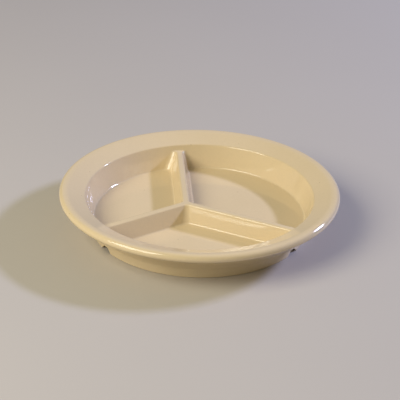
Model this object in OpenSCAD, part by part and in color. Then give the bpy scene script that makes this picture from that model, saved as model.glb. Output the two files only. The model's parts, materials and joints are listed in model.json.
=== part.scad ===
// Deep round plate with three compartments, moulded in one piece from glossy cream plastic.
// Each node is one region of the moulding, and regions meet face to face.
// The origin is the centre of the foot ring on the table, with Z up.

/* [Plate] */
// Diameter over the rounded outer edge
plate_d = 229; // [220:1:250]
// Height of the rim's crest above the table
plate_h = 33.2; // [31:0.1:36]
// Thickness of the moulded wall
wall_t = 2.6; // [2.2:0.1:2.8]

/* [Rim] */
// Width of the rim, from the outer edge to the edge of the well
rim_w = 21.1; // [19:0.1:25]
// Climb of the rim from the edge of the well to its crest
rim_rise = 5.8; // [4.5:0.1:7]
// Radius of the rounded bead along the outer edge
bead_r = 3.4; // [3:0.1:3.8]
// Radius over which the rim's top eases into its crest
rim_roll_r = 13; // [8:0.5:15]
// Rounding of the edge where the rim turns down into the well
rim_edge_r = 1.8; // [1:0.1:2.4]

/* [Well] */
// Height of the eating surface above the table
floor_h = 8.1; // [7.5:0.1:9]
// Lean of the well's wall and of the dividers' sides, in degrees
draft = 19; // [16:0.5:20]
// Fillet between the floor and every wall
crease_r = 1.8; // [1.2:0.1:2]

/* [Dividers] */
// Height of the dividers above the eating surface
divider_h = 14.7; // [12:0.1:16]
// Width of a divider along its top, before its edges are rounded
divider_top_w = 5.2; // [4.8:0.1:6]
// Rounding of a divider's top edges
divider_edge_r = 1.4; // [0.8:0.1:1.6]
// Distance from the plate's centre to the point where the dividers meet
hub_offset = 13.3; // [10:0.1:16]
// Corner radius of a compartment at the hub, at floor level
hub_corner_r = 7.5; // [5:0.1:8]
// Corner radius of a compartment at the hub, at the dividers' top
hub_top_corner_r = 4.5; // [3:0.1:5]
// Corner radius of a compartment at the well's wall, at floor level
wall_corner_r = 3.7; // [3.5:0.1:4]

/* [Foot] */
// Width of the foot ring's resting face
foot_w = 2.7; // [2.2:0.1:3.2]
// Width of a drain notch at the table
notch_w = 13.6; // [10:0.1:16]
// Width of a drain notch at its top
notch_top_w = 5.4; // [4:0.1:7]
// Height of a drain notch
notch_h = 3.9; // [3:0.1:4.4]

/* [Hidden] */

$fn = 96;
floor_fn = 180;

// Steps in which a small fillet, the bead and a corner at the hub are drawn
arc_steps = 6;
bead_steps = 32;
hub_corner_steps = 5;

// Cutting bodies run this far past the faces that they cut, or well beyond the plate
over = 1;
far = 200;

// The three dividers, named by where they point, divide the turn equally
spread = 120;
half_spread = spread / 2;
back_angle = 90;
left_angle = back_angle + spread;
right_angle = left_angle + spread;
arm_angles = [back_angle, left_angle, right_angle];

cream = [0.86, 0.77, 0.62];
cream_light = [0.90, 0.82, 0.68];
cream_deep = [0.80, 0.70, 0.53];
cream_pale = [0.93, 0.86, 0.74];

// Heights and radii that follow from the driving dimensions
lean = tan(draft);
plate_r = plate_d / 2;
well_r = plate_r - rim_w;
well_edge_z = plate_h - rim_rise;
slab_z = floor_h - wall_t;
floor_r = well_r - (well_edge_z - floor_h) * lean;
divider_top_z = floor_h + divider_h;
wall_step = wall_t / cos(draft);
foot_inset = 0.3;
foot_r = floor_r + wall_step - foot_inset;

// The rim's top is a cone that leaves the well's edge and runs onto the roll at its crest
bead_c = [plate_r - bead_r, plate_h - bead_r];
roll_c = [bead_c.x, plate_h - rim_roll_r];
edge_to_roll = roll_c - [well_r, well_edge_z];
rim_angle = atan2(edge_to_roll.y, edge_to_roll.x) + asin(rim_roll_r / norm(edge_to_roll));
rim_slope = tan(rim_angle);
rim_drop = wall_t / cos(rim_angle);

// Seams between regions lie on straight stretches, clear of every fillet
floor_seam = 2.4;
rim_seam_run = 5;
rim_seam_r = well_r + rim_seam_run;
bead_seam_run = 0.8;
bead_seam_r = roll_c.x - rim_roll_r * sin(rim_angle) - bead_seam_run;
seam_gap = 1;

// Room taken around a divider's end for the bodies that shape it
end_room = 20;
end_block_depth = 12;

// Distance from a corner to where a fillet of radius 1 ends, at a wall that leans by draft
fillet_k = (1 - sin(draft)) / cos(draft);
outer_fillet_r = 4;
foot_fillet_r = 6;
foot_edge_r = 0.6;

// A divider's half width at the floor, and the hollow channel beneath it
base_hw = divider_top_w / 2 + divider_h * lean;
channel_tip_r = 1;
channel_end_gap = 0.3;

// A corner fillet stops this far short of the well's wall, so that the two never just touch
corner_gap = 0.1;

// Place of the hub, and where each corner fillet of a compartment is centred
hub = polar(hub_offset, left_angle);
hub_corner = [(base_hw + hub_corner_r) / tan(half_spread), base_hw + hub_corner_r];
hub_seam_x = hub_corner.x + seam_gap;

function polar(r, a) = [r * cos(a), r * sin(a)];
function turned(p, a) = [p.x * cos(a) - p.y * sin(a), p.x * sin(a) + p.y * cos(a)];
function arc(c, r, a0, a1, steps = arc_steps) =
    [for (i = [0:steps]) c + polar(r, a0 + (a1 - a0) * i / steps)];
function flipped(points) = [for (i = [len(points) - 1:-1:0]) points[i]];

// Height of the rim's top and radii of the well's two faces
function rim_z(r) = well_edge_z + (r - well_r) * rim_slope;
function inner_r(z) = floor_r + (z - floor_h) * lean;
function outer_r(z) = inner_r(z) + wall_step;

// The plate's centre, and the centre of a corner fillet, seen along a divider from the hub
function centre_from(a) = turned(-hub, -a);
function wall_corner_y(s) = s * (base_hw + wall_corner_r);
function corner_reach(a, s) = sqrt(pow(floor_r - wall_corner_r - corner_gap, 2)
    - pow(wall_corner_y(s) - centre_from(a).y, 2));
function wall_corner(a, s) = [centre_from(a).x + corner_reach(a, s), wall_corner_y(s)];
function wall_seam_x(a) = min(wall_corner(a, 1).x, wall_corner(a, -1).x) - seam_gap;

// Direction from the plate's centre through a corner fillet: the seam between a wall and a divider's end
function outward(a, s) = wall_corner(a, s) - centre_from(a);
function wall_seam_angle(a, s) = a + atan2(outward(a, s).y, outward(a, s).x);

// Where a divider's middle line crosses the foot ring, as an angle about the plate's centre
function foot_reach(a) = centre_from(a).x + sqrt(pow(foot_r, 2) - pow(centre_from(a).y, 2));
function foot_point(a) = hub + polar(foot_reach(a), a);
function foot_angle(a) = atan2(foot_point(a).y, foot_point(a).x);

// A compartment's side in section: crease at the floor, leaning wall, rounded top edge.
// x runs out from the foot of the wall and y up from the floor.
crease_c = [-fillet_k * crease_r, crease_r];
top_edge_c = [divider_h * lean + fillet_k * divider_edge_r, divider_h - divider_edge_r];
side_curve = concat(
    arc(crease_c, crease_r, -90, -draft),
    arc(top_edge_c, divider_edge_r, 180 - draft, 90));

// The space beside a divider: the last step of the curve runs on through the divider's top
last = len(side_curve) - 1;
space_curve = [for (i = [0:last - 1]) side_curve[i],
    side_curve[last] + (side_curve[last] - side_curve[last - 1]) / 2];

function hollow_section(reach) = concat([[-reach, 0]], space_curve,
    [[space_curve[last].x, divider_h + over], [-reach, divider_h + over]]);

// Children are drawn along one divider: the hub is at 0 and the divider runs along +X
module on_arm(a) {
    translate([hub.x, hub.y, 0])
        rotate(a)
            children();
}

// Everything above the floor on one side of a divider, from x0 to x1
module side_hollow(s, x0, x1) {
    section = [for (p = hollow_section(end_room)) [s * (base_hw - p.x), p.y]];
    translate([x0, 0, floor_h])
        rotate([90, 0, 90])
            linear_extrude(x1 - x0)
                polygon(section);
}

// The rounded corner of a compartment, about its centre line
module corner_hollow(c, r) {
    translate([c.x, c.y, floor_h])
        rotate_extrude()
            polygon([for (p = hollow_section(r)) [max(0, r + p.x), p.y]]);
}

// How fast each step of a corner at the hub backs away, for 1 mm of the sides beside it, so
// that the corner's radius narrows evenly from the floor to the dividers' top
function hub_step_pace(i) =
    let (
        turn = half_spread / 2 - half_spread * i / hub_corner_steps,
        k = cos(turn) / cos(half_spread / 2))
    k + (k - 1) * (hub_corner_r - hub_top_corner_r) / (divider_h * lean);

// The corner of a compartment at the hub, where the sides of two dividers meet in small steps
module hub_corner_hollow() {
    intersection_for (i = [0:hub_corner_steps])
        translate([hub_corner.x, hub_corner.y, floor_h])
            rotate([90, 0, 270 - half_spread * i / hub_corner_steps])
                linear_extrude(2 * end_room, center = true)
                    polygon([for (p = space_curve) [hub_corner_r + hub_step_pace(i) * p.x, p.y],
                        [hub_corner_r + hub_step_pace(i) * space_curve[last].x, divider_h + over],
                        [-end_room, divider_h + over], [-end_room, 0]]);
}

// Half width of the hollow channel beneath a divider
function channel_hw(z) = divider_top_w / 2 + (divider_top_z - z) * lean - wall_step;
channel_tip_z = divider_top_z - (channel_tip_r / cos(draft) + wall_step - divider_top_w / 2) / lean;
channel_section = concat(
    [for (s = [-1, 1]) [s * channel_hw(slab_z - over), slab_z - over]],
    arc([0, channel_tip_z], channel_tip_r, draft, 180 - draft));

// The round hollow beneath the hub, a little wider and higher than the channels that run into it
hub_hollow_room = 1.5;
hub_hollow_rise = 0.3;
hub_hollow_top = channel_tip_z + channel_tip_r + hub_hollow_rise;

module hub_hollow() {
    base = channel_hw(slab_z - over) + hub_hollow_room;
    tip = channel_hw(hub_hollow_top) + hub_hollow_room;
    translate([hub.x, hub.y, 0])
        rotate_extrude()
            polygon([[0, slab_z - over], [base, slab_z - over], [tip, hub_hollow_top], [0, hub_hollow_top]]);
}

module channel(x0, x1) {
    translate([x0, 0, 0])
        rotate([90, 0, 90])
            linear_extrude(x1 - x0)
                polygon(channel_section);
}

// Plan of one floor, between the divider at angle a and the next one
module floor_plan(a) {
    corner = hub + polar((base_hw + floor_seam) / sin(half_spread), a + half_spread);
    intersection() {
        circle(r = floor_r - floor_seam, $fn = floor_fn);
        polygon([corner, for (turn = [0, half_spread, spread]) corner + polar(far, a + turn)]);
    }
}

module floor_slab(a) {
    translate([0, 0, slab_z])
        linear_extrude(wall_t)
            floor_plan(a);
}

// The space of the three floors, made taller so that it cuts cleanly
module floor_spaces() {
    translate([0, 0, slab_z - over])
        linear_extrude(wall_t + 2 * over)
            for (a = arm_angles)
                floor_plan(a);
}

// Section of a divider: two leaning legs, a narrow top and a strip of floor on each side
module divider_section() {
    right_side = [for (p = side_curve) [base_hw - p.x, floor_h + p.y]];
    left_side = [for (p = right_side) [-p.x, p.y]];
    edge = base_hw + floor_seam;
    difference() {
        polygon(concat([[edge, slab_z], [edge, floor_h]], right_side,
            flipped(left_side), [[-edge, floor_h], [-edge, slab_z]]));
        polygon(channel_section);
    }
}

module divider(a) {
    x0 = hub_seam_x;
    on_arm(a)
        translate([x0, 0, 0])
            rotate([90, 0, 90])
                linear_extrude(wall_seam_x(a) - x0)
                    divider_section();
}

module back_divider() {
    color(cream_light) divider(back_angle);
}

module left_divider() {
    color(cream_light) divider(left_angle);
}

module right_divider() {
    color(cream_light) divider(right_angle);
}

// The three-way junction, with the compartments' rounded corners taken out of a triangle.
// The triangle's corners are twice as far from the hub as its sides, which are the seams.
module divider_hub() {
    color(cream_pale)
        difference() {
            translate([0, 0, slab_z])
                linear_extrude(divider_top_z - slab_z)
                    polygon([for (a = arm_angles) hub + polar(2 * hub_seam_x, a + 180)]);
            for (a = arm_angles)
                on_arm(a) {
                    hub_corner_hollow();
                    channel(hub_hollow_room / 2, hub_seam_x + over);
                }
            hub_hollow();
            floor_spaces();
        }
}

module large_floor() {
    color(cream) floor_slab(right_angle);
}

module left_floor() {
    color(cream) floor_slab(back_angle);
}

module front_floor() {
    color(cream) floor_slab(left_angle);
}

// Section of the wall from the rounded edge of the well, over the start of the rim and
// back beneath it, down the outer face and the soft bend to the foot ring
function wall_outline() =
    let (
        turn = 90 - draft - rim_angle,
        edge_run = rim_edge_r * tan(turn / 2),
        edge_c = [well_r, well_edge_z] + polar(edge_run, rim_angle) + polar(rim_edge_r, rim_angle - 90),
        corner_z = (well_edge_z - rim_drop + (floor_r + wall_step - floor_h * lean - well_r) * rim_slope)
            / (1 - lean * rim_slope),
        under_run = outer_fillet_r * tan(turn / 2),
        under_c = [outer_r(corner_z), corner_z] + polar(under_run, rim_angle)
            + polar(outer_fillet_r, rim_angle - 90),
        bend_z = floor_h + (foot_r - floor_r - wall_step) / lean,
        bend_c = [foot_r + foot_fillet_r, bend_z - foot_fillet_r * tan(draft / 2)])
    concat(
        arc(edge_c, rim_edge_r, 180 - draft, 90 + rim_angle),
        [[rim_seam_r, rim_z(rim_seam_r)], [rim_seam_r, rim_z(rim_seam_r) - rim_drop]],
        arc(under_c, outer_fillet_r, 90 + rim_angle, 180 - draft),
        arc(bend_c, foot_fillet_r, 180 - draft, 180),
        [[foot_r, slab_z]]);

// One compartment's stretch of the well's wall, with a strip of floor and the crease
module wall_stretch(a) {
    a0 = wall_seam_angle(a, 1);
    a1 = wall_seam_angle(a + spread, -1);
    rotate(a0)
        rotate_extrude(angle = a1 - a0)
            polygon(concat(
                [[floor_r - floor_seam, slab_z], [floor_r - floor_seam, floor_h]],
                arc([floor_r, floor_h] + crease_c, crease_r, -90, -draft),
                wall_outline()));
}

module large_wall() {
    color(cream_light) wall_stretch(right_angle);
}

module left_wall() {
    color(cream_light) wall_stretch(back_angle);
}

module front_wall() {
    color(cream_light) wall_stretch(left_angle);
}

// Solid of revolution under the well's leaning face, drawn in by gap
module well_space(z0, z1, gap) {
    rotate_extrude()
        polygon([[0, z0], [inner_r(z0) - gap, z0], [inner_r(z1) - gap, z1], [0, z1]]);
}

// A divider's end and the wall that it runs into, with two corner fillets.
// It starts as a block up to the divider's top, from which the two compartments are hollowed.
module divider_end(a) {
    a0 = wall_seam_angle(a, -1);
    a1 = wall_seam_angle(a, 1);
    block_r = floor_r - end_block_depth;
    difference() {
        rotate(a0)
            rotate_extrude(angle = a1 - a0)
                polygon(concat(
                    [[block_r, slab_z], [block_r, divider_top_z], [inner_r(divider_top_z), divider_top_z]],
                    wall_outline()));
        on_arm(a)
            translate([wall_seam_x(a) - end_room, -2 * end_room, 0])
                cube([end_room, 4 * end_room, plate_h]);
        for (s = [1, -1]) {
            on_arm(a)
                side_hollow(s, wall_seam_x(a) - over, wall_corner(a, s).x);
            intersection() {
                on_arm(a)
                    corner_hollow(wall_corner(a, s), wall_corner_r);
                well_space(floor_h - over, divider_top_z + 2 * over, corner_gap / 2);
            }
        }
        floor_spaces();
        intersection() {
            on_arm(a)
                channel(wall_seam_x(a) - over, far);
            well_space(0, divider_top_z, channel_end_gap);
        }
    }
}

module back_divider_end() {
    color(cream_pale) divider_end(back_angle);
}

module left_divider_end() {
    color(cream_pale) divider_end(left_angle);
}

module right_divider_end() {
    color(cream_pale) divider_end(right_angle);
}

module rim_flange() {
    color(cream)
        rotate_extrude()
            polygon([for (r = [rim_seam_r, bead_seam_r]) [r, rim_z(r) - rim_drop],
                for (r = [bead_seam_r, rim_seam_r]) [r, rim_z(r)]]);
}

// The thick rounded edge, with the last of the rim's cone running into it.
// The rim's top rolls smoothly onto the bead, and its underside meets the bead in a corner.
module outer_bead() {
    reach = (bead_c - [well_r, well_edge_z]) * [-sin(rim_angle), cos(rim_angle)];
    under_meets = rim_angle - 270 + acos((-reach - wall_t) / bead_r);
    color(cream_light)
        rotate_extrude()
            polygon(concat(
                [[bead_seam_r, rim_z(bead_seam_r)]],
                arc(roll_c, rim_roll_r, 90 + rim_angle, 90),
                arc(bead_c, bead_r, 90 - 90 / bead_steps, under_meets, bead_steps),
                [[bead_seam_r, rim_z(bead_seam_r) - rim_drop]]));
}

// The ring that the plate stands on, with a drain notch under the end of each divider
module foot_ring() {
    inner = foot_r - foot_w;
    color(cream_deep)
        difference() {
            rotate_extrude()
                polygon(concat(
                    arc([foot_r - foot_edge_r, foot_edge_r], foot_edge_r, -90, 0),
                    [[foot_r, slab_z], [inner, slab_z]],
                    arc([inner + foot_edge_r, foot_edge_r], foot_edge_r, 180, 270)));
            for (a = arm_angles)
                rotate(foot_angle(a))
                    translate([inner - over, 0, 0])
                        rotate([90, 0, 90])
                            linear_extrude(foot_w + 2 * over)
                                polygon([[-notch_w / 2, 0], [-notch_w / 2, -over], [notch_w / 2, -over],
                                    [notch_w / 2, 0], [notch_top_w / 2, notch_h], [-notch_top_w / 2, notch_h]]);
        }
}

outer_bead();
rim_flange();
foot_ring();
large_wall();
left_wall();
front_wall();
large_floor();
left_floor();
front_floor();
back_divider();
left_divider();
right_divider();
divider_hub();
back_divider_end();
left_divider_end();
right_divider_end();
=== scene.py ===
"""Round plate with three compartments, moulded in one piece from cream melamine resin.

Each visible piece takes the place of one region of the moulding. Regions meet on straight
stretches, so that the gloss runs across them without a break. Drawing is in millimetres and
angles are in degrees.
"""

import json
import math

import bpy
from mathutils import Matrix, Vector

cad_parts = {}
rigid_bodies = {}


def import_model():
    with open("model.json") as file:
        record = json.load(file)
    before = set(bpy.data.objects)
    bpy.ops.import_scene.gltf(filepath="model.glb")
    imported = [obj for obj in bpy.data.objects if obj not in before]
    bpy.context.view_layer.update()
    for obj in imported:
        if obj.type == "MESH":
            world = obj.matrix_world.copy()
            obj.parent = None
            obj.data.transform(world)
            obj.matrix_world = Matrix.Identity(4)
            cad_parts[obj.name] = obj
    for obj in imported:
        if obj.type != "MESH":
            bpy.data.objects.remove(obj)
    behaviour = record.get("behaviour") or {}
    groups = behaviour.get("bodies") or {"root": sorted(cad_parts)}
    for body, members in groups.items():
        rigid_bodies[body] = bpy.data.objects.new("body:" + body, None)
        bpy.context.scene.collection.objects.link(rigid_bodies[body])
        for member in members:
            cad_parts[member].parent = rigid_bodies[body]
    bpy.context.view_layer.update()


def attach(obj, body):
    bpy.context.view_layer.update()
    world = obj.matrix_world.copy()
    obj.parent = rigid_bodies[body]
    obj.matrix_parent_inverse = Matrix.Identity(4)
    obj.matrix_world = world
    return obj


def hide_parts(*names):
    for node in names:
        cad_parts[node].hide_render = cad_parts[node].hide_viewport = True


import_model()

MM = 0.001

# The plate, as the solids have it
PLATE_R = 114.5
PLATE_H = 33.2
WALL_T = 2.6
RIM_W = 21.1
RIM_RISE = 5.8
BEAD_R = 3.4
RIM_ROLL_R = 13
RIM_EDGE_R = 1.8
FLOOR_H = 8.1
DRAFT = 19
CREASE_R = 1.8
DIVIDER_H = 14.7
DIVIDER_TOP_W = 5.2
HUB_OFFSET = 13.3
HUB_CORNER_R = 7.5
HUB_TOP_CORNER_R = 4.5
FOOT_W = 2.7
NOTCH_W = 13.6
NOTCH_TOP_W = 5.4
NOTCH_H = 3.9
OUTER_FILLET_R = 4
FOOT_FILLET_R = 6
FOOT_EDGE_R = 0.6
FOOT_INSET = 0.3
CHANNEL_TIP_R = 1
CHANNEL_END_GAP = 0.3
HUB_HOLLOW_ROOM = 1.5
HUB_HOLLOW_RISE = 0.3

# Roundings that the solids have in a simpler form: the dividers' top edges, and the corners of
# the compartments at the well's wall, at the floor and at the dividers' top. The last is the
# fillet where a divider's top runs into the wall, which the solids leave sharp
DIVIDER_EDGE_R = 1.8
WALL_CORNER_R = 5.5
WALL_TOP_CORNER_R = 4.2
TOP_FILLET_R = 1.2

# Seams between regions
FLOOR_SEAM = 2.4
RIM_SEAM_RUN = 5
BEAD_SEAM_RUN = 0.8
SEAM_GAP = 1

# The three dividers, by the direction in which each one runs out from the hub
ARMS = {"back": 90, "left": 210, "right": 330}
SPREAD = 120
HALF_SPREAD = 60

# How finely each curve is drawn
FILLET_STEPS = 8
ROLL_STEPS = 16
BEAD_STEPS = 56
HUB_CORNER_STEPS = 16
HUB_HOLLOW_SIDES = 72
MEETING_STEPS = 10
CORNER_STEPS = 12
FACE_STEPS = 4
RING_TURN = 1
WALL_TURN = 0.5
SMOOTH_ANGLE = 32

# Points closer than this are one, cutters run this far past what they cut, and a search
# halves its span this many times
MERGE = 0.002
OVERRUN = 1
HALVINGS = 50


def sin(degrees):
    return math.sin(math.radians(degrees))


def cos(degrees):
    return math.cos(math.radians(degrees))


def tan(degrees):
    return math.tan(math.radians(degrees))


def rotation(degrees):
    return Matrix.Rotation(math.radians(degrees), 2)


def polar(r, degrees):
    return Vector((r * cos(degrees), r * sin(degrees)))


def bearing(p):
    return math.degrees(math.atan2(p.y, p.x))


def evenly(start, end, steps):
    """Values from start to end, both included, in even steps."""
    return [start + (end - start) * i / steps for i in range(steps + 1)]


def arc(centre, r, start, end, steps=FILLET_STEPS):
    return [Vector(centre) + polar(r, angle) for angle in evenly(start, end, steps)]


def halved(low, high, passes):
    """The last value that passes, between a low one that does and a high one that doesn't."""
    for _ in range(HALVINGS):
        middle = (low + high) / 2
        low, high = (middle, high) if passes(middle) else (low, middle)
    return low


LEAN = tan(DRAFT)
SLOPE = 90 - DRAFT
LEVEL_T = WALL_T / cos(DRAFT)
WELL_R = PLATE_R - RIM_W
WELL_EDGE_Z = PLATE_H - RIM_RISE
SLAB_Z = FLOOR_H - WALL_T
CUT_Z = SLAB_Z - OVERRUN
FLOOR_R = WELL_R - (WELL_EDGE_Z - FLOOR_H) * LEAN
FOOT_R = FLOOR_R + LEVEL_T - FOOT_INSET
TOP_Z = FLOOR_H + DIVIDER_H
TOP_INSET = DIVIDER_H * LEAN
BASE_HW = DIVIDER_TOP_W / 2 + TOP_INSET
FILLET_K = tan(SLOPE / 2)
CREASE_START = -FILLET_K * CREASE_R
CHANNEL_TIP_Z = TOP_Z - (CHANNEL_TIP_R / cos(DRAFT) + LEVEL_T - DIVIDER_TOP_W / 2) / LEAN
HUB = polar(HUB_OFFSET, ARMS["left"])

# The rim's top is a cone that leaves the well's edge and eases over a wide roll onto the bead
BEAD_C = Vector((PLATE_R - BEAD_R, PLATE_H - BEAD_R))
ROLL_C = Vector((BEAD_C.x, PLATE_H - RIM_ROLL_R))
WELL_EDGE = Vector((WELL_R, WELL_EDGE_Z))
EDGE_TO_ROLL = ROLL_C - WELL_EDGE
RIM_ANGLE = bearing(EDGE_TO_ROLL) + math.degrees(math.asin(RIM_ROLL_R / EDGE_TO_ROLL.length))
RIM_SLOPE = tan(RIM_ANGLE)
RIM_DROP = WALL_T / cos(RIM_ANGLE)
RIM_SEAM_R = WELL_R + RIM_SEAM_RUN
BEAD_SEAM_R = ROLL_C.x - RIM_ROLL_R * sin(RIM_ANGLE) - BEAD_SEAM_RUN

# A compartment's side in section, as steps (inset from the foot of the side, height):
# a strip of floor, the crease, the leaning face, and the rounded edge of a divider's top
FLOOR_EDGE = [(-FLOOR_SEAM, SLAB_Z), (-FLOOR_SEAM, FLOOR_H)]
CREASE = [(p.x, FLOOR_H + p.y) for p in arc((CREASE_START, CREASE_R), CREASE_R, -90, -DRAFT)]
TOP_EDGE = [(p.x, FLOOR_H + p.y) for p in arc(
    (TOP_INSET + FILLET_K * DIVIDER_EDGE_R, DIVIDER_H - DIVIDER_EDGE_R),
    DIVIDER_EDGE_R, 180 - DRAFT, 90)]
SIDE = FLOOR_EDGE + CREASE + TOP_EDGE

# Heights of the roundings below and above the level of the dividers' tops
TOP_LEVELS = [TOP_Z - DIVIDER_EDGE_R * (1 - cos(turn)) for turn in evenly(SLOPE, 0, FILLET_STEPS)]
FILLET_LEVELS = [TOP_Z + TOP_FILLET_R * (1 - cos(turn)) for turn in evenly(0, SLOPE, FILLET_STEPS)]


def rim_z(r):
    return WELL_EDGE_Z + (r - WELL_R) * RIM_SLOPE


def inner_r(z):
    return FLOOR_R + (z - FLOOR_H) * LEAN


def centre_from(arm):
    """The plate's centre, seen along a divider from the hub."""
    return rotation(-arm) @ -HUB


def corner_r(inset, foot_r, top_r):
    """A corner's radius, which changes evenly from the foot of the sides to their top."""
    return foot_r + (top_r - foot_r) * inset / TOP_INSET


def hub_corner(inset):
    """Centre and radius of a corner at the hub, between the dividers at 0 and 120 degrees."""
    level = max(inset, CREASE_START)
    r = corner_r(level, HUB_CORNER_R, HUB_TOP_CORNER_R)
    y = BASE_HW - level + r
    return Vector((y / tan(HALF_SPREAD), y)), r + inset - level


def wall_corner(arm, side, inset=CREASE_START):
    """Centre and radius of the corner on one side of a divider's outer end."""
    level = max(inset, CREASE_START)
    r = corner_r(level, WALL_CORNER_R, WALL_TOP_CORNER_R)
    y = side * (BASE_HW - level + r)
    reach = math.sqrt((FLOOR_R + level - r) ** 2 - (y - centre_from(arm).y) ** 2)
    return Vector((centre_from(arm).x + reach, y)), r + inset - level


HUB_SEAM_X = hub_corner(CREASE_START)[0].x + SEAM_GAP


def wall_seam_x(arm):
    return min(wall_corner(arm, side)[0].x for side in (-1, 1)) - SEAM_GAP


def wall_seam_angle(arm, side):
    return arm + bearing(wall_corner(arm, side)[0] - centre_from(arm))


def wall_outline():
    """The wall in section, from the well's edge over the rim's start and down the outside."""
    turn = SLOPE - RIM_ANGLE
    edge_c = (WELL_EDGE
              + polar(RIM_EDGE_R * tan(turn / 2), RIM_ANGLE)
              + polar(RIM_EDGE_R, RIM_ANGLE - 90))
    outside_r = FLOOR_R + LEVEL_T - FLOOR_H * LEAN
    corner_z = (WELL_EDGE_Z - RIM_DROP + (outside_r - WELL_R) * RIM_SLOPE) / (1 - LEAN * RIM_SLOPE)
    under_c = (Vector((inner_r(corner_z) + LEVEL_T, corner_z))
               + polar(OUTER_FILLET_R * tan(turn / 2), RIM_ANGLE)
               + polar(OUTER_FILLET_R, RIM_ANGLE - 90))
    bend_z = FLOOR_H + (FOOT_R - FLOOR_R - LEVEL_T) / LEAN
    bend_c = (FOOT_R + FOOT_FILLET_R, bend_z - FOOT_FILLET_R * tan(DRAFT / 2))
    seam_z = rim_z(RIM_SEAM_R)
    return (arc(edge_c, RIM_EDGE_R, 180 - DRAFT, 90 + RIM_ANGLE)
            + [Vector((RIM_SEAM_R, seam_z)), Vector((RIM_SEAM_R, seam_z - RIM_DROP))]
            + arc(under_c, OUTER_FILLET_R, 90 + RIM_ANGLE, 180 - DRAFT)
            + arc(bend_c, FOOT_FILLET_R, 180 - DRAFT, 180)
            + [Vector((FOOT_R, SLAB_Z))])


def channel_hw(z):
    return DIVIDER_TOP_W / 2 + (TOP_Z - z) * LEAN - LEVEL_T


def channel_section(foot_z):
    """The hollow beneath a divider, from its left foot over the rounded tip to its right foot."""
    tip = arc((0, CHANNEL_TIP_Z), CHANNEL_TIP_R, DRAFT, 180 - DRAFT)
    return [Vector((channel_hw(foot_z), foot_z))] + tip + [Vector((-channel_hw(foot_z), foot_z))]


# ---- Hand moves ----

def deselect():
    bpy.ops.object.select_all(action="DESELECT")


def choose(*pieces):
    """Selects these pieces alone and makes the last one active."""
    deselect()
    for piece in pieces:
        piece.select_set(True)
    bpy.context.view_layer.objects.active = pieces[-1]


def edit():
    bpy.ops.object.mode_set(mode="EDIT")
    bpy.ops.mesh.select_mode(type="VERT")


def leave():
    bpy.ops.object.mode_set(mode="OBJECT")


def outward():
    bpy.ops.mesh.select_all(action="SELECT")
    bpy.ops.mesh.normals_make_consistent(inside=False)


def drawn(name, points):
    """Draws a line through points, from a plane merged to one vertex, and stays in edit mode."""
    deselect()
    bpy.ops.mesh.primitive_plane_add(size=MM, location=(0, 0, 0))
    piece = bpy.context.object
    piece.name = piece.data.name = name
    edit()
    bpy.ops.mesh.select_all(action="SELECT")
    bpy.ops.mesh.merge(type="CENTER")
    bpy.ops.transform.translate(value=Vector(points[0]) * MM)
    for start, end in zip(points, points[1:]):
        step = (Vector(end) - Vector(start)) * MM
        bpy.ops.mesh.extrude_region_move(TRANSFORM_OT_translate={"value": step})
    return piece


def closed():
    """Joins the two ends of the line just drawn, and leaves it all selected."""
    bpy.ops.mesh.select_all(action="DESELECT")
    leave()
    mesh = bpy.context.object.data
    ends = [i for edge in mesh.edges for i in edge.vertices]
    for vertex in mesh.vertices:
        vertex.select = ends.count(vertex.index) == 1
    edit()
    bpy.ops.mesh.edge_face_add()
    bpy.ops.mesh.select_all(action="SELECT")


def run_out(step):
    """Extrudes the closed line just drawn and fills both ends."""
    bpy.ops.mesh.edge_face_add()
    bpy.ops.mesh.extrude_region_move(TRANSFORM_OT_translate={"value": Vector(step) * MM})
    outward()


def laid(name, columns):
    """Lays a grid so that each row of its vertices runs through one column of points."""
    deselect()
    rows = len(columns[0])
    bpy.ops.mesh.primitive_grid_add(
        x_subdivisions=rows - 1, y_subdivisions=len(columns) - 1, size=MM)
    sheet = bpy.context.object
    sheet.name = sheet.data.name = name
    for i, column in enumerate(columns):
        for k, p in enumerate(column):
            sheet.data.vertices[i * rows + k].co = Vector(p) * MM
    return sheet


def near(a, b):
    return abs(a - b) < MERGE


def fill(rule):
    """Fills the opening whose rim the rule picks, by place, from the mesh's open edges."""
    bpy.ops.mesh.select_all(action="DESELECT")
    bpy.ops.mesh.select_non_manifold(
        extend=False, use_wire=True, use_boundary=True, use_multi_face=False,
        use_non_contiguous=False, use_verts=False)
    leave()
    mesh = bpy.context.object.data
    keep = [v.select and rule(v.co / MM) for v in mesh.vertices]
    mesh.polygons.foreach_set("select", [False] * len(mesh.polygons))
    mesh.edges.foreach_set("select", [False] * len(mesh.edges))
    mesh.vertices.foreach_set("select", keep)
    edit()
    bpy.ops.mesh.edge_face_add()


def merge():
    """Merges the points of the whole mesh that lie on each other."""
    bpy.ops.mesh.select_all(action="SELECT")
    bpy.ops.mesh.remove_doubles(threshold=MERGE * MM)


def turned(piece, degrees, place=(0, 0)):
    """Turns a piece made along +X to where it belongs, and writes that into its mesh."""
    choose(piece)
    piece.rotation_euler.z = math.radians(degrees)
    piece.location = (place[0] * MM, place[1] * MM, 0)
    bpy.ops.object.transform_apply(location=True, rotation=True, scale=True)


def cut(piece, cutter):
    """Takes the cutter's shape out of the piece."""
    choose(piece)
    hollow = piece.modifiers.new("hollow", "BOOLEAN")
    hollow.operation = "DIFFERENCE"
    hollow.solver = "EXACT"
    hollow.object = cutter
    bpy.ops.object.modifier_apply(modifier="hollow")
    bpy.data.objects.remove(cutter)


def finished(piece, node, material):
    """Smooths a piece, gives it its material and puts it in the place of its CAD node."""
    choose(piece)
    edit()
    outward()
    leave()
    bpy.ops.object.shade_smooth_by_angle(angle=math.radians(SMOOTH_ANGLE))
    flow = piece.modifiers.new("flow", "WEIGHTED_NORMAL")
    flow.keep_sharp = True
    bpy.ops.object.modifier_apply(modifier="flow")
    piece.data.materials.clear()
    piece.data.materials.append(material)
    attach(piece, "root")
    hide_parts(node)


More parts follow.
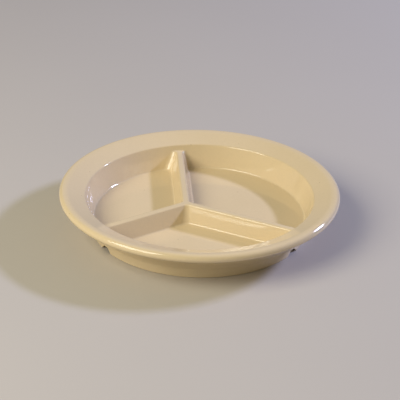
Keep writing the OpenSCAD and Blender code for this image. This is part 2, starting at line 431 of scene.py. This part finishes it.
# ---- Regions that are revolved about the plate's centre ----

def revolved(name, section, start=0, end=360, step=RING_TURN):
    """Draws a closed section on the radius at start and spins it about the plate's centre."""
    ray = polar(1, start)
    piece = drawn(name, [(p[0] * ray.x, p[0] * ray.y, p[1]) for p in section])
    closed()
    # About this axis a spin by a negative angle turns to the left, seen from above
    bpy.ops.mesh.spin(steps=round((end - start) / step), angle=math.radians(start - end),
                      axis=(0, 0, 1), center=(0, 0, 0))
    if end - start < 360:
        for degrees in (start, end):
            along, across = polar(1, degrees), polar(1, degrees + 90)
            fill(lambda p: near(p.xy.dot(across), 0) and p.xy.dot(along) > 0)
    else:
        merge()
    outward()
    leave()
    return piece


def rolled_edge():
    depth = -(BEAD_C - WELL_EDGE).dot(polar(1, 90 + RIM_ANGLE))
    under_meets = RIM_ANGLE - 270 + math.degrees(math.acos((depth - WALL_T) / BEAD_R))
    seam_z = rim_z(BEAD_SEAM_R)
    section = ([(BEAD_SEAM_R, seam_z)]
               + arc(ROLL_C, RIM_ROLL_R, 90 + RIM_ANGLE, 90, ROLL_STEPS)
               + arc(BEAD_C, BEAD_R, 90, under_meets, BEAD_STEPS)[1:]
               + [(BEAD_SEAM_R, seam_z - RIM_DROP)])
    return revolved("rolled_edge", section)


def rim_face():
    section = [(r, rim_z(r) - RIM_DROP) for r in (RIM_SEAM_R, BEAD_SEAM_R)]
    section += [(r, rim_z(r)) for r in (BEAD_SEAM_R, RIM_SEAM_R)]
    return revolved("rim_face", section)


def well_wall(name, arm):
    section = [(FLOOR_R + inset, z) for inset, z in FLOOR_EDGE + CREASE] + wall_outline()
    return revolved(
        name, section, wall_seam_angle(arm, 1), wall_seam_angle(arm + SPREAD, -1), WALL_TURN)


def standing_ring():
    """The ring that the plate stands on, notched beneath the end of each divider."""
    inner = FOOT_R - FOOT_W
    section = (arc((FOOT_R - FOOT_EDGE_R, FOOT_EDGE_R), FOOT_EDGE_R, -90, 0)
               + [(FOOT_R, SLAB_Z), (inner, SLAB_Z)]
               + arc((inner + FOOT_EDGE_R, FOOT_EDGE_R), FOOT_EDGE_R, 180, 270))
    ring = revolved("standing_ring", section)
    top = NOTCH_TOP_W / 2
    foot = NOTCH_W / 2 + OVERRUN * (NOTCH_W / 2 - top) / NOTCH_H
    outline = [(-foot, -OVERRUN), (foot, -OVERRUN), (top, NOTCH_H), (-top, NOTCH_H)]
    for arm in ARMS.values():
        centre = centre_from(arm)
        reach = centre.x + math.sqrt(FOOT_R ** 2 - centre.y ** 2)
        notch = drawn("notch", [(inner - OVERRUN, y, z) for y, z in outline])
        closed()
        run_out((FOOT_W + 2 * OVERRUN, 0, 0))
        leave()
        turned(notch, bearing(HUB + polar(reach, arm)))
        cut(ring, notch)
    return ring


# ---- Floors and dividers ----

def well_floor(name, arm):
    """A floor between the divider at one angle and the next, with its three corners rounded."""
    plan = [HUB + rotation(arm) @ p
            for p in arc(*hub_corner(-FLOOR_SEAM), 270, 270 - HALF_SPREAD)]
    for divider, side in ((arm + SPREAD, -1), (arm, 1)):
        centre, r = wall_corner(divider, side, -FLOOR_SEAM)
        out = bearing(centre - centre_from(divider))
        ends = (out, -90) if side > 0 else (90, out)
        plan += [HUB + rotation(divider) @ p for p in arc(centre, r, *ends)]
        if side < 0:
            start, end = wall_seam_angle(divider, side), wall_seam_angle(arm, 1)
            steps = round((start - end) / WALL_TURN)
            plan += arc((0, 0), FLOOR_R - FLOOR_SEAM, start, end, steps)[1:-1]
    piece = drawn(name, [(p.x, p.y, SLAB_Z) for p in plan])
    closed()
    run_out((0, 0, WALL_T))
    leave()
    return piece


def rib(name, arm):
    """A divider's straight stretch: two leaning legs with the channel between them."""
    left = [(BASE_HW - inset, z) for inset, z in SIDE]
    section = [(-y, z) for y, z in left] + left[::-1] + channel_section(SLAB_Z)
    piece = drawn(name, [(HUB_SEAM_X, y, z) for y, z in section])
    closed()
    run_out((wall_seam_x(arm) - HUB_SEAM_X, 0, 0))
    leave()
    turned(piece, arm, HUB)
    return piece


def channel_bar(start, end_low, end_high):
    """The body that hollows a divider: its far end may lean."""
    bar = drawn("channel_bar", [(start, y, z) for y, z in channel_section(CUT_Z)])
    closed()
    run_out((end_low - start, 0, 0))
    leave()
    for v in bar.data.vertices:
        if v.co.x > (start + end_low) / 2 * MM:
            share = (v.co.z / MM - CUT_Z) / (TOP_Z - CUT_Z)
            v.co.x = (end_low + (end_high - end_low) * share) * MM
    return bar


def rib_junction():
    """The three-way junction, laid round one compartment's corner and copied for the others."""
    columns = [[(HUB_SEAM_X, BASE_HW - inset, z) for inset, z in SIDE]]
    for angle in evenly(270, 270 - HALF_SPREAD, HUB_CORNER_STEPS):
        column = []
        for inset, z in SIDE:
            centre, r = hub_corner(inset)
            column.append((*(centre + polar(1, angle) * r), z))
        columns.append(column)
    columns.append([(*(rotation(SPREAD) @ Vector((HUB_SEAM_X, inset - BASE_HW))), z)
                    for inset, z in SIDE])
    piece = laid("rib_junction", columns)
    edit()
    bpy.ops.mesh.select_all(action="SELECT")
    for _ in range(len(ARMS) - 1):
        bpy.ops.mesh.select_linked()
        bpy.ops.mesh.duplicate()
        bpy.ops.transform.rotate(
            value=math.radians(SPREAD), orient_axis="Z", center_override=(0, 0, 0))
    for k in range(len(ARMS)):
        along = polar(1, SPREAD * k)
        for level in (TOP_Z, SLAB_Z):
            fill(lambda p: near(p.xy.dot(along), HUB_SEAM_X) and near(p.z, level))
        fill(lambda p: near(p.xy.dot(along), HUB_SEAM_X))
    fill(lambda p: near(p.z, TOP_Z))
    fill(lambda p: near(p.z, SLAB_Z))
    outward()
    leave()
    for k in range(len(ARMS)):
        end = HUB_SEAM_X + OVERRUN
        bar = channel_bar(HUB_HOLLOW_ROOM / 2, end, end)
        turned(bar, SPREAD * k)
        cut(piece, bar)
    high = CHANNEL_TIP_Z + CHANNEL_TIP_R + HUB_HOLLOW_RISE
    deselect()
    bpy.ops.mesh.primitive_cone_add(
        vertices=HUB_HOLLOW_SIDES, depth=(high - CUT_Z) * MM,
        radius1=(channel_hw(CUT_Z) + HUB_HOLLOW_ROOM) * MM,
        radius2=(channel_hw(high) + HUB_HOLLOW_ROOM) * MM,
        location=(0, 0, (high + CUT_Z) / 2 * MM))
    cut(piece, bpy.context.object)
    turned(piece, ARMS["back"], HUB)
    return piece


# ---- Where a divider runs into the well's wall ----

def bulge(turn_r, turn, drop):
    """How far a rounding that turns through an angle stands off the leaning face, at a height
    drop away from the level where it is flattest."""
    cos_b = cos(SLOPE - turn) - drop / turn_r
    if cos_b <= cos(SLOPE):
        return 0
    return turn_r * (sin(SLOPE) - math.sqrt(1 - cos_b ** 2) - (cos_b - cos(SLOPE)) / tan(SLOPE))


def meeting(corner, r, centre, direction):
    """Along one ray from a corner's centre: how far the two roundings turn before they meet, and
    the bearing about the plate's centre where they do, or None where both turn to the full."""

    def gap(turn):
        lower = corner - centre + direction * (r + bulge(DIVIDER_EDGE_R, turn, 0))
        return inner_r(TOP_Z) - bulge(TOP_FILLET_R, turn, 0) - lower.length, bearing(lower)

    if gap(SLOPE)[0] > 0:
        return SLOPE, None
    turn = halved(0, SLOPE, lambda part: gap(part)[0] > 0)
    return turn, gap(turn)[1]


def corner_columns(arm, side):
    """The columns of points of one corner, each facing one way: along the wall from its seam,
    round the corner and to the divider's side. With them come the places where the wall goes on
    above the divider's top, as bearings about the plate's centre, and the roundings' turn there."""
    centre = centre_from(arm)
    out = bearing(wall_corner(arm, side)[0] - centre)
    top_corner, top_r = wall_corner(arm, side, TOP_INSET)
    leaves = side * (out - bearing(top_corner - centre))
    sweep = side * out + 90

    def way(fan):
        return polar(1, out - side * fan)

    def spot(fan, inset, stands_off=0):
        corner, r = wall_corner(arm, side, inset)
        if fan < side * (out - bearing(corner - centre)):
            return centre + way(fan) * (FLOOR_R + inset)
        return corner + way(fan) * (r + stands_off)

    parts = halved(
        leaves, sweep, lambda fan: meeting(top_corner, top_r, centre, way(fan))[1] is not None)
    fans = (evenly(0, leaves, FILLET_STEPS)[:-1] + evenly(leaves, parts, MEETING_STEPS)
            + evenly(parts, sweep, CORNER_STEPS)[1:])
    heights = evenly(CREASE[-1][1], TOP_LEVELS[0], FACE_STEPS)[1:-1] + TOP_LEVELS
    columns = []
    upper = []
    for fan in fans:
        turn, start = 0, out - side * fan
        if fan > leaves:
            turn, start = meeting(top_corner, top_r, centre, way(fan))
        if start is not None:
            upper.append((start, turn))
        column = [(*spot(fan, inset), z) for inset, z in FLOOR_EDGE + CREASE]
        for z in heights:
            stands_off = bulge(DIVIDER_EDGE_R, turn, TOP_Z - z)
            column.append((*spot(fan, (z - FLOOR_H) * LEAN, stands_off), z))
        columns.append(column)
    columns.append([(wall_seam_x(arm), y, z) for _, y, z in columns[-1]])
    return columns, upper


def upper_columns(centre, upper):
    """The columns above the divider's top, which follow the wall, over its edge and down the
    outside. Where the widest stretch has none, between the two corners, they are added evenly."""
    gaps = [after[0] - before[0] for before, after in zip(upper, upper[1:])]
    widest = gaps.index(max(gaps))
    start, end = upper[widest][0], upper[widest + 1][0]
    between = evenly(start, end, max(2, round((end - start) / WALL_TURN)))[1:-1]
    every = upper[:widest + 1] + [(angle, SLOPE) for angle in between] + upper[widest + 1:]
    outline = wall_outline()
    columns = []
    for angle, turn in every:
        fillet = [(inner_r(z) - bulge(TOP_FILLET_R, turn, z - TOP_Z), z) for z in FILLET_LEVELS]
        columns.append([(centre.x + r * cos(angle), centre.y + r * sin(angle), z)
                        for r, z in fillet + outline])
    return columns


def rib_end(name, arm):
    """A divider's end: its two corners, with the wall above and outside them."""
    centre = centre_from(arm)
    seam_x = wall_seam_x(arm)
    sheets = []
    upper = []
    for side in (-1, 1):
        columns, starts = corner_columns(arm, side)
        sheets.append(laid("corner", columns))
        upper += starts
    upper.sort()
    piece = laid(name, upper_columns(centre, upper))
    choose(*sheets, piece)
    bpy.ops.object.join()
    edit()
    merge()
    foot_in = FLOOR_R - FLOOR_SEAM
    for angle, _ in (upper[0], upper[-1]):
        along, across = polar(1, angle), polar(1, angle + 90)

        def on_seam(p):
            q = p.xy - centre
            return near(q.dot(across), 0) and q.dot(along) > foot_in - MERGE

        fill(lambda p: on_seam(p) and near(p.z, SLAB_Z)
             and (near((p.xy - centre).length, foot_in) or near((p.xy - centre).length, FOOT_R)))
        fill(on_seam)
    for level in (TOP_Z, SLAB_Z):
        fill(lambda p: near(p.x, seam_x) and near(p.z, level))
    fill(lambda p: near(p.x, seam_x))
    fill(lambda p: near(p.z, TOP_Z))
    fill(lambda p: near(p.z, SLAB_Z))
    outward()
    leave()
    bar = channel_bar(seam_x - OVERRUN, centre.x + inner_r(CUT_Z) - CHANNEL_END_GAP,
                      centre.x + inner_r(TOP_Z) - CHANNEL_END_GAP)
    edit()
    outward()
    leave()
    cut(piece, bar)
    turned(piece, arm, HUB)
    return piece


# ---- Materials ----

# The colour sockets of a mix node, which share their names with its other sockets
MIX_A, MIX_B, MIX_RESULT = 6, 7, 2


def linear(code):
    """An sRGB hex colour as linear red, green, blue and alpha."""
    parts = [int(code[i:i + 2], 16) / 255 for i in (0, 2, 4)]
    return [c / 12.92 if c <= 0.04045 else ((c + 0.055) / 1.055) ** 2.4 for c in parts] + [1]


def add(tree, kind, sockets, **settings):
    """Adds a node with its settings, and gives each socket a value or a link."""
    node = tree.nodes.new(kind)
    for key, value in settings.items():
        setattr(node, key, value)
    for key, value in sockets.items():
        if isinstance(value, bpy.types.NodeSocket):
            tree.links.new(value, node.inputs[key])
        else:
            node.inputs[key].default_value = value
    return node


def blank(name):
    material = bpy.data.materials.new(name)
    material.use_nodes = True
    material.node_tree.nodes.clear()
    return material, material.node_tree


def melamine():
    """Melamine resin, pressed hot in polished steel moulds: an even cream body under a hard,
    clear gloss, which bends reflections a little and carries the odd dark speck."""
    material, tree = blank("cream_moulded_melamine")
    place = add(tree, "ShaderNodeTexCoord", {}).outputs["Object"]
    # The resin's tone drifts over about 50 mm, and mottles by up to 1.5% over about 2 mm
    drift = add(tree, "ShaderNodeTexNoise", {"Vector": place, "Scale": 1 / (50 * MM), "Detail": 2})
    mottle = add(tree, "ShaderNodeTexNoise", {"Vector": place, "Scale": 1 / (2 * MM), "Detail": 3})
    tone = add(tree, "ShaderNodeMix", {
        "Factor": drift.outputs["Fac"], MIX_A: linear("D9C59E"), MIX_B: linear("DFCBA6")},
        data_type="RGBA")
    grain = add(tree, "ShaderNodeMapRange", {
        "Value": mottle.outputs["Fac"], "From Min": 0.3, "From Max": 0.7,
        "To Min": 0.985, "To Max": 1.015})
    body = add(tree, "ShaderNodeVectorMath", {
        "Vector": tone.outputs[MIX_RESULT], "Scale": grain.outputs["Result"]}, operation="SCALE")
    # Specks of scorched resin lie some 12 mm apart through its thickness. Each is darkest within
    # 0.2 mm of its middle and fades out by 0.4 mm, which are 0.018 and 0.034 of that spacing
    cells = add(tree, "ShaderNodeTexVoronoi", {"Vector": place, "Scale": 1 / (12 * MM)})
    speck = add(tree, "ShaderNodeMapRange", {
        "Value": cells.outputs["Distance"], "From Min": 0.018, "From Max": 0.034,
        "To Min": 0.75, "To Max": 0})
    colour = add(tree, "ShaderNodeMix", {
        "Factor": speck.outputs["Result"], MIX_A: body.outputs["Vector"],
        MIX_B: linear("6E5232")}, data_type="RGBA")
    # The mould's polish leaves shallow waves some 14 mm long
    waves = add(tree, "ShaderNodeTexNoise", {"Vector": place, "Scale": 1 / (14 * MM), "Detail": 1})
    bump = add(tree, "ShaderNodeBump", {
        "Height": waves.outputs["Fac"], "Strength": 0.08, "Distance": 0.06 * MM})
    # The gloss is a little hazier where the tone is paler
    haze = add(tree, "ShaderNodeMapRange", {
        "Value": drift.outputs["Fac"], "To Min": 0.03, "To Max": 0.045})
    shader = add(tree, "ShaderNodeBsdfPrincipled", {
        "Base Color": colour.outputs[MIX_RESULT], "Roughness": haze.outputs["Result"],
        "IOR": 1.55, "Normal": bump.outputs["Normal"]})
    add(tree, "ShaderNodeOutputMaterial", {"Surface": shader.outputs["BSDF"]})
    return material


def painted_board():
    """A pale matt board under the plate, with a faint unevenness of the paint over 250 mm."""
    material, tree = blank("pale_painted_board")
    place = add(tree, "ShaderNodeTexCoord", {}).outputs["Object"]
    drift = add(tree, "ShaderNodeTexNoise", {"Vector": place, "Scale": 1 / (250 * MM), "Detail": 2})
    tone = add(tree, "ShaderNodeMix", {
        "Factor": drift.outputs["Fac"], MIX_A: linear("BDB7AD"), MIX_B: linear("C1BBB1")},
        data_type="RGBA")
    shader = add(tree, "ShaderNodeBsdfPrincipled", {
        "Base Color": tone.outputs[MIX_RESULT], "Roughness": 0.55})
    add(tree, "ShaderNodeOutputMaterial", {"Surface": shader.outputs["BSDF"]})
    return material


# ---- The plate ----

cream = melamine()
finished(rolled_edge(), "outer_bead", cream)
finished(rim_face(), "rim_flange", cream)
finished(standing_ring(), "foot_ring", cream)
for well, arm in (("large", "right"), ("left", "back"), ("front", "left")):
    finished(well_wall(f"{well}_well_side", ARMS[arm]), f"{well}_wall", cream)
    finished(well_floor(f"{well}_well_base", ARMS[arm]), f"{well}_floor", cream)
for where, angle in ARMS.items():
    finished(rib(f"{where}_rib", angle), f"{where}_divider", cream)
    finished(rib_end(f"{where}_rib_end", angle), f"{where}_divider_end", cream)
finished(rib_junction(), "divider_hub", cream)

# ---- Table, lamps and camera, in metres ----

TABLE_SIZE = 8
TABLE_SQUARES = 8

deselect()
bpy.ops.mesh.primitive_grid_add(
    x_subdivisions=TABLE_SQUARES, y_subdivisions=TABLE_SQUARES, size=TABLE_SIZE,
    location=(0, 0, 0))
table = bpy.context.object
table.name = table.data.name = "table"
table.data.materials.append(painted_board())


def lamp(name, direction, rise, distance, width, height, power, colour):
    """A soft box that faces the plate from a direction round it and a rise above the table."""
    place = Matrix.Rotation(math.radians(direction), 3, "Z") @ Vector((
        distance * cos(rise), 0, distance * sin(rise)))
    deselect()
    bpy.ops.object.light_add(type="AREA", location=place)
    light = bpy.context.object
    light.name = name
    light.data.shape = "RECTANGLE"
    light.data.size = width
    light.data.size_y = height
    light.data.energy = power
    light.data.color = linear(colour)[:3]
    light.rotation_euler = place.to_track_quat("Z", "Y").to_euler()


lamp("key_lamp", direction=20, rise=29.5, distance=2.4, width=0.45, height=0.15,
     power=54, colour="C2CAFF")
lamp("side_lamp", direction=210, rise=40, distance=1.55, width=1.0, height=0.9,
     power=21.5, colour="FFF9E8")

# A dim, warm room fills the shadows
world = bpy.data.worlds.new("room")
bpy.context.scene.world = world
world.use_nodes = True
room = world.node_tree.nodes["Background"]
room.inputs["Color"].default_value = linear("FFF8E2")
room.inputs["Strength"].default_value = 0.2

# Where the camera stands, and its own axes there
CAMERA_PLACE = Vector((-79.92, -1015.42, 552.82)) * MM
FORWARD = Vector((0.0699, 0.88377, -0.46268))
RIGHT = Vector((0.99745, -0.06853, 0.01981))
UP = Vector((0.0142, 0.46288, 0.88631))

deselect()
bpy.ops.object.camera_add()
camera = bpy.context.object
camera.name = "camera"
camera.data.lens = 126
camera.data.sensor_width = 36
camera.matrix_world = (Matrix.Translation(CAMERA_PLACE)
                       @ Matrix((RIGHT, UP, -FORWARD)).transposed().to_4x4())
bpy.context.scene.camera = camera
bpy.context.scene.view_settings.view_transform = "Standard"
